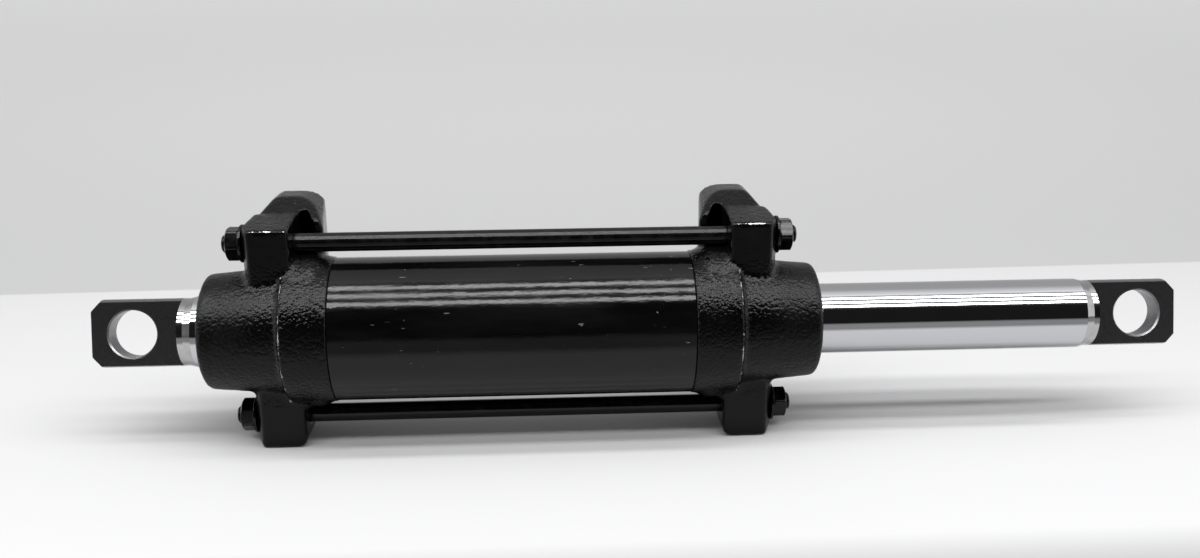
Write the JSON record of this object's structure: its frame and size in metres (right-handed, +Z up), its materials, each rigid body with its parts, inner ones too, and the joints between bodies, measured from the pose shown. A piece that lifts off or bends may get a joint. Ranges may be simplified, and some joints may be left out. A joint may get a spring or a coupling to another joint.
{
  "type": "hydraulic cylinder",
  "caption": "Double-acting through-rod hydraulic cylinder with tie rods, cast heads with mounting feet, and a flat bored eye on each rod end.",
  "frame": {"origin": "centre of the four tapped mounting holes, on the mounting face behind the barrel", "axes": "+X along the rod towards its extended end, +Y out of the mounting face, +Z up along the ears"},
  "size_m": [0.582, 0.0837, 0.128],
  "materials": {
    "tube_paint": "semi-gloss black paint",
    "casting_paint": "black paint over rough casting",
    "fastener": "black paint over steel",
    "chrome": "hard chrome, eyes dark",
    "bronze": "machined bronze",
    "seal_polymer": "polyurethane",
    "backup_polymer": "PTFE",
    "wiper_polymer": "polyurethane wiper",
    "seal_rubber": "nitrile rubber",
    "wear_polymer": "fabric-filled phenolic",
    "spring_steel": "oiled spring steel",
    "piston_iron": "machined iron"
  },
  "bodies": {
    "barrel": {"barrel_tube": "tube_paint", "left_head": "casting_paint", "left_rod_bushing": "bronze", "left_rod_seal": "seal_polymer", "left_rod_backup_ring": "backup_polymer", "left_rod_wiper": "wiper_polymer", "left_head_oring": "seal_rubber", "left_head_backup_ring": "backup_polymer", "left_upper_washer": "fastener", "left_upper_nut": "fastener", "left_lower_washer": "fastener", "left_lower_nut": "fastener", "right_head": "casting_paint", "right_rod_bushing": "bronze", "right_rod_seal": "seal_polymer", "right_rod_backup_ring": "backup_polymer", "right_rod_wiper": "wiper_polymer", "right_head_oring": "seal_rubber", "right_head_backup_ring": "backup_polymer", "right_upper_washer": "fastener", "right_upper_nut": "fastener", "right_lower_washer": "fastener", "right_lower_nut": "fastener", "upper_tie_rod": "fastener", "lower_tie_rod": "fastener"},
    "piston_group": {"piston": "piston_iron", "piston_bore_oring": "seal_rubber", "piston_energiser": "seal_rubber", "piston_seal": "seal_polymer", "left_wear_ring": "wear_polymer", "right_wear_ring": "wear_polymer"},
    "rod": {"piston_rod": "chrome", "left_piston_retainer": "spring_steel", "right_piston_retainer": "spring_steel"}
  },
  "joints": [
    {"name": "stroke", "type": "slide", "parent": "barrel", "child": "piston_group", "axis": [1, 0, 0], "range_m": [-0.14, 0]},
    {"name": "rod_turn", "type": "hinge", "parent": "piston_group", "child": "rod", "pos_m": [0.07, -0.045, 0], "axis": [1, 0, 0], "continuous": true}
  ]
}
